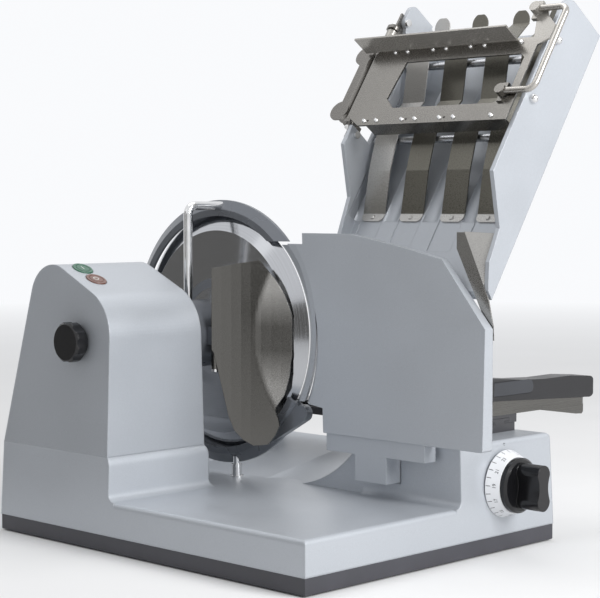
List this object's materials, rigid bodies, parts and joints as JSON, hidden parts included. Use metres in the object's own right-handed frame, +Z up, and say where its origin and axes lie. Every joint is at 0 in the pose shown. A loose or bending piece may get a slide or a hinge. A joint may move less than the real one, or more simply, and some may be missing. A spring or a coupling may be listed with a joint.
{
  "type": "vertical food slicer",
  "caption": "Upright food slicer: closed tower with a round blade, ring guard, gauge plate with dial, and a sloped chute on a hand-pushed carriage with a swinging remnant holder.",
  "frame": {"origin": "centre of the bounding box, on the surface that the feet stand on", "axes": "+X along the blade's shaft from the tower to the carriage, +Y away from the operator, +Z up"},
  "size_m": [0.645, 0.6657, 0.7102],
  "materials": {
    "painted_casting": "silver-grey hammered lacquer",
    "dark_rim": "satin",
    "sheet_steel": "plain",
    "stainless": "brushed",
    "bright_steel": "polished",
    "rubber_foot": "matte",
    "green_plastic": "satin",
    "brown_plastic": "satin",
    "black_plastic": "glossy",
    "grip_plastic": "fine grain",
    "inset_plastic": "soft",
    "white_plastic": "satin",
    "motor_paint": "matt",
    "belt_rubber": "matte",
    "blade_steel": "ground and polished",
    "anodised": "satin anodised",
    "strip_steel": "brushed",
    "rail_steel": "satin",
    "pad_plastic": "plain"
  },
  "bodies": {
    "base": {"base_casting": "painted_casting", "base_rim": "dark_rim", "bottom_cover": "sheet_steel", "cover_screws": "bright_steel", "feet": "rubber_foot", "tower_housing": "painted_casting", "switch_block": "dark_rim", "power_inlet": "dark_rim", "motor": "motor_paint", "motor_bracket": "sheet_steel", "drive_belt": "belt_rubber", "hub_housing": "painted_casting", "bearings": "bright_steel", "blade_cover": "anodised", "ring_guard": "painted_casting", "ring_stay": "bright_steel", "ring_post": "stainless", "deflector_bracket": "painted_casting", "deflector_pin": "stainless", "guide_rods": "bright_steel", "guide_rail": "rail_steel"},
    "blade": {"blade_shaft": "bright_steel", "blade": "blade_steel", "blade_screws": "bright_steel", "blade_pulley": "anodised"},
    "rotor": {"motor_shaft": "bright_steel", "motor_pulley": "anodised"},
    "release": {"draw_rod": "bright_steel", "release_knob": "black_plastic"},
    "deflector": {"slice_deflector": "stainless"},
    "gauge": {"gauge_plate": "painted_casting", "gauge_support": "painted_casting", "gauge_screws": "bright_steel", "gauge_slide": "anodised", "cam_follower": "bright_steel"},
    "dial": {"scroll_cam": "anodised", "dial_spindle": "bright_steel", "dial_scale": "white_plastic", "thickness_knob": "black_plastic"},
    "carriage": {"carriage_shoe": "rail_steel", "glide_pads": "pad_plastic", "handle_plate": "stainless", "handle_grip": "grip_plastic", "grip_inset": "inset_plastic", "stop_tab": "stainless", "chute_bracket": "painted_casting", "chute": "painted_casting", "chute_strips": "strip_steel", "strip_screws": "bright_steel", "support_bars": "stainless", "chute_bolts": "bright_steel", "end_guard": "stainless", "rod_brackets": "stainless", "hinge_rod": "bright_steel"},
    "holder": {"holder_frame": "stainless", "holder_spikes": "bright_steel", "hinge_leaf": "stainless", "bail_handle": "bright_steel"},
    "start": {"start_button": "green_plastic"},
    "stop": {"stop_button": "brown_plastic"}
  },
  "joints": [
    {"name": "blade_spin", "type": "hinge", "parent": "base", "child": "blade", "pos_m": [-0.10854, 0.15463, 0.264], "axis": [1, 0, 0], "continuous": true},
    {"name": "motor_spin", "type": "hinge", "parent": "base", "child": "rotor", "pos_m": [-0.23854, 0.20613, 0.0835], "axis": [1, 0, 0], "continuous": true},
    {"name": "release_turn", "type": "hinge", "parent": "base", "child": "release", "pos_m": [-0.30854, 0.15463, 0.264], "axis": [-1, 0, 0], "range_deg": [0, 720]},
    {"name": "deflector_swing", "type": "hinge", "parent": "base", "child": "deflector", "pos_m": [-0.11386, 0.09869, 0.264], "axis": [0, 0, -1], "range_deg": [0, 30]},
    {"name": "gauge_travel", "type": "slide", "parent": "base", "child": "gauge", "axis": [-1, 0, 0], "range_m": [0, 0.024]},
    {"name": "thickness_turn", "type": "hinge", "parent": "base", "child": "dial", "pos_m": [0.05646, -0.25988, 0.0865], "axis": [0, -1, 0], "range_deg": [0, 345]},
    {"name": "carriage_travel", "type": "slide", "parent": "base", "child": "carriage", "axis": [0, 1, 0], "range_m": [0, 0.29]},
    {"name": "holder_swing", "type": "hinge", "parent": "carriage", "child": "holder", "pos_m": [0.06037, -0.02388, 0.61091], "axis": [-0.5548, 0, -0.832], "range_deg": [0, 105]},
    {"name": "start_press", "type": "slide", "parent": "base", "child": "start", "axis": [0, 0.4242, -0.9056], "range_m": [0, 0.0025], "stiffness_N_per_m": 600, "springref_m": -0.002},
    {"name": "stop_press", "type": "slide", "parent": "base", "child": "stop", "axis": [0, 0.4242, -0.9056], "range_m": [0, 0.0025], "stiffness_N_per_m": 600, "springref_m": -0.002}
  ],
  "couplings": [
    {"joint": "motor_spin", "follows": "blade_spin", "ratio": 2.1818},
    {"joint": "thickness_turn", "follows": "gauge_travel", "rad_per_m": 250.87}
  ]
}
